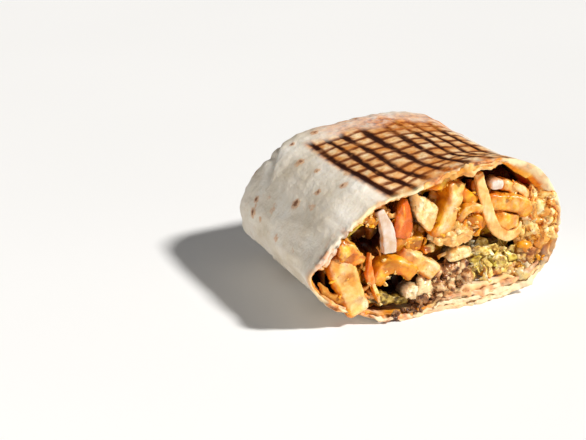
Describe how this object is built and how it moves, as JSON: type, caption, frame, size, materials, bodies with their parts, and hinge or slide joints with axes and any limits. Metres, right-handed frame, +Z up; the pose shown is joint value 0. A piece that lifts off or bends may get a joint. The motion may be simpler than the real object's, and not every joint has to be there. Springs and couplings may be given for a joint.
{
  "type": "french tacos half",
  "caption": "Half of a grilled french tacos, cut across: a folded flour tortilla filled with fries, ground meat, cheese, onion and lettuce.",
  "frame": {"origin": "bottom centre of the whole, on the surface that the half lies on", "axes": "+X to the right across the cut, seen from the cut face; -Y out of the cut face; +Z up"},
  "size_m": [0.1114, 0.091, 0.0599],
  "materials": {
    "tortilla": "baked flour tortilla with grill marks",
    "fries": "fried potato in sauce",
    "ground_meat": "browned ground meat",
    "lettuce": "shredded lettuce in white sauce",
    "egg_crumble": "soft crumbled egg and cheese",
    "onion_slice": "glossy raw onion",
    "tomato_piece": "glossy tomato flesh",
    "onion_petal": "glossy onion in sauce",
    "melted_cheese": "melted cheese",
    "cheese_block": "soft cheese",
    "cheese_cube": "soft white cheese",
    "onion_bit": "glossy raw onion",
    "pepper_piece": "glossy red pepper",
    "lettuce_leaf": "wilted lettuce in sauce",
    "browned_piece": "browned fried potato",
    "long_onion_strip": "glossy onion in sauce",
    "onion_sliver": "glossy raw onion",
    "green_strip": "wilted lettuce in sauce"
  },
  "bodies": {
    "root": {"tortilla": "tortilla", "fries": "fries", "ground_meat": "ground_meat", "lettuce": "lettuce", "egg_crumble": "egg_crumble", "onion_slice": "onion_slice", "tomato_piece": "tomato_piece", "onion_petal": "onion_petal", "melted_cheese": "melted_cheese", "cheese_block": "cheese_block", "cheese_cube": "cheese_cube", "onion_bit": "onion_bit", "pepper_piece": "pepper_piece", "lettuce_leaf": "lettuce_leaf", "browned_piece": "browned_piece", "long_onion_strip": "long_onion_strip", "onion_sliver": "onion_sliver", "green_strip": "green_strip"}
  },
  "joints": []
}
